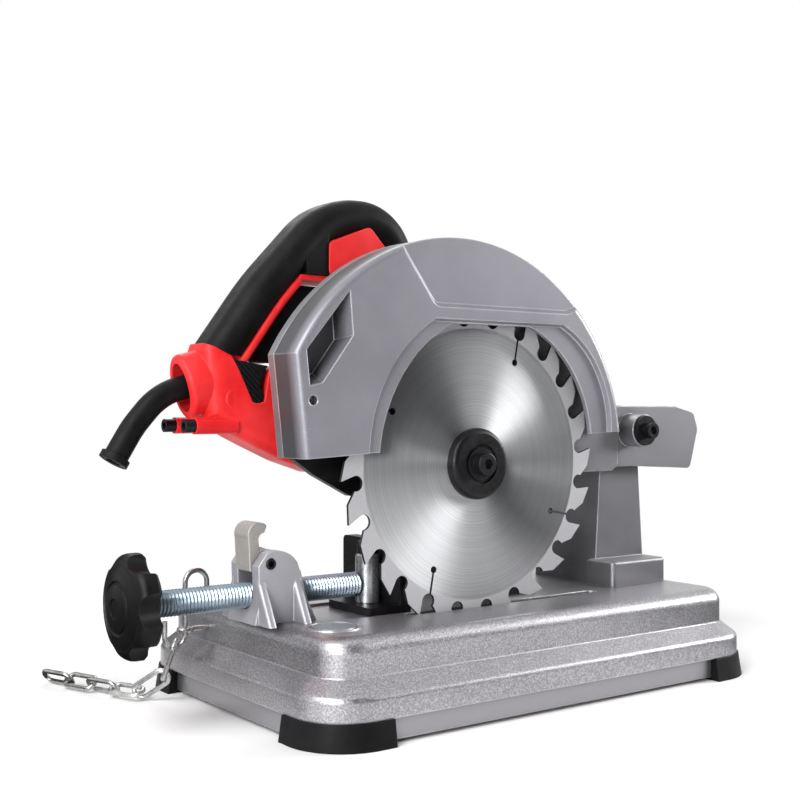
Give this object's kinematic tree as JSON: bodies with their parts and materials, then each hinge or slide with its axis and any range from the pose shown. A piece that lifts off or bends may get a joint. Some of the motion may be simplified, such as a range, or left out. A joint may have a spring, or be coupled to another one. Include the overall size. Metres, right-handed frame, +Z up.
{
  "type": "mini cut-off saw",
  "caption": "Bench cut-off saw: a motor head with a guarded toothed blade and D-handle swings on a post over a cast base with a screw vise.",
  "frame": {"origin": "middle of the base, on the floor plane under the feet", "axes": "+X to the pivot post at the rear, +Y to the motor side, +Z up"},
  "size_m": [0.4136, 0.2403, 0.289],
  "materials": {
    "cast_paint": "fine-grained silver casting paint",
    "cast_aluminium": "bead-blasted casting",
    "black_rubber": "matte",
    "black_plastic": "satin",
    "red_plastic": "satin red",
    "zinc_steel": "bright zinc plating",
    "bright_steel": "ground",
    "black_steel": "black oxide",
    "laminations": "stacked sheet",
    "copper": "copper",
    "carbon": "carbon"
  },
  "bodies": {
    "base": {"base": "cast_paint", "foot_front_near": "black_rubber", "foot_front_far": "black_rubber", "foot_rear_near": "black_rubber", "foot_rear_far": "black_rubber", "base_screws": "zinc_steel", "pivot_post": "cast_aluminium", "vise_bracket": "cast_aluminium", "lever_pin": "bright_steel", "fence": "black_steel", "base_bolts": "zinc_steel", "anchor_eye": "zinc_steel", "hold_down_hook": "zinc_steel", "hold_down_chain": "zinc_steel", "return_spring": "bright_steel"},
    "lever": {"half_nut_lever": "cast_aluminium"},
    "jaw": {"jaw_post": "cast_aluminium", "jaw_bolt": "black_steel"},
    "vise_screw": {"vise_screw": "zinc_steel", "vise_knob": "black_plastic"},
    "jaw_plate": {"jaw_plate": "black_steel"},
    "head": {"blade_guard": "cast_aluminium", "gear_case": "cast_aluminium", "chip_deflector": "black_plastic", "pivot_bracket": "cast_aluminium", "pivot_shaft": "bright_steel", "pivot_washers": "black_steel", "pivot_bolts": "black_steel", "spindle_bearings": "bright_steel", "armature_bearings": "bright_steel", "bearing_plate": "cast_aluminium", "motor_housing": "black_plastic", "motor_end_cap": "black_plastic", "stator": "laminations", "field_coils": "copper", "brush_holders": "black_plastic", "carbon_brushes": "carbon", "brush_caps": "black_plastic", "handle_near_shell": "red_plastic", "handle_far_shell": "red_plastic", "head_screws": "zinc_steel", "clamp_screws": "black_steel", "soft_grip": "black_rubber", "finger_pad": "black_rubber", "trigger_pin": "bright_steel", "power_switch": "black_plastic", "cable_sleeve": "black_rubber"},
    "spindle": {"saw_blade": "bright_steel", "inner_flange": "bright_steel", "outer_flange": "black_steel", "arbor_bolt": "black_steel", "spindle": "bright_steel", "drive_gear": "bright_steel"},
    "armature": {"pinion": "bright_steel", "armature_shaft": "bright_steel", "armature_core": "laminations", "commutator": "copper", "cooling_fan": "black_plastic"},
    "trigger": {"trigger": "black_plastic"}
  },
  "joints": [
    {"name": "head_pivot", "type": "hinge", "parent": "base", "child": "head", "pos_m": [0.115, 0, 0.1525], "axis": [0, 1, 0], "range_deg": [0, 40]},
    {"name": "spindle_spin", "type": "hinge", "parent": "head", "child": "spindle", "pos_m": [-0.026, -0.05, 0.135], "axis": [0, 1, 0], "continuous": true},
    {"name": "armature_spin", "type": "hinge", "parent": "head", "child": "armature", "pos_m": [-0.01803, 0.04, 0.1742], "axis": [0, 1, 0], "continuous": true},
    {"name": "trigger_pull", "type": "hinge", "parent": "head", "child": "trigger", "pos_m": [-0.12358, 0.008, 0.23406], "axis": [0, 1, 0], "range_deg": [0, 6], "stiffness_Nm_per_rad": 1.2},
    {"name": "jaw_slide", "type": "slide", "parent": "base", "child": "jaw", "axis": [1, 0, 0], "range_m": [-0.028, 0.04]},
    {"name": "vise_screw_turn", "type": "hinge", "parent": "jaw", "child": "vise_screw", "pos_m": [-0.15, -0.017, 0.067], "axis": [1, 0, 0], "range_deg": [-5041, 7201]},
    {"name": "jaw_swivel", "type": "hinge", "parent": "jaw", "child": "jaw_plate", "pos_m": [-0.078, -0.017, 0.055], "axis": [0, 0, 1], "range_deg": [-10, 10]},
    {"name": "half_nut_release", "type": "hinge", "parent": "base", "child": "lever", "pos_m": [-0.15, -0.017, 0.0847], "axis": [0, -1, 0], "range_deg": [0, 35]}
  ],
  "couplings": [
    {"joint": "armature_spin", "follows": "spindle_spin", "ratio": -5.4},
    {"joint": "vise_screw_turn", "follows": "jaw_slide", "rad_per_m": 3141.6}
  ]
}
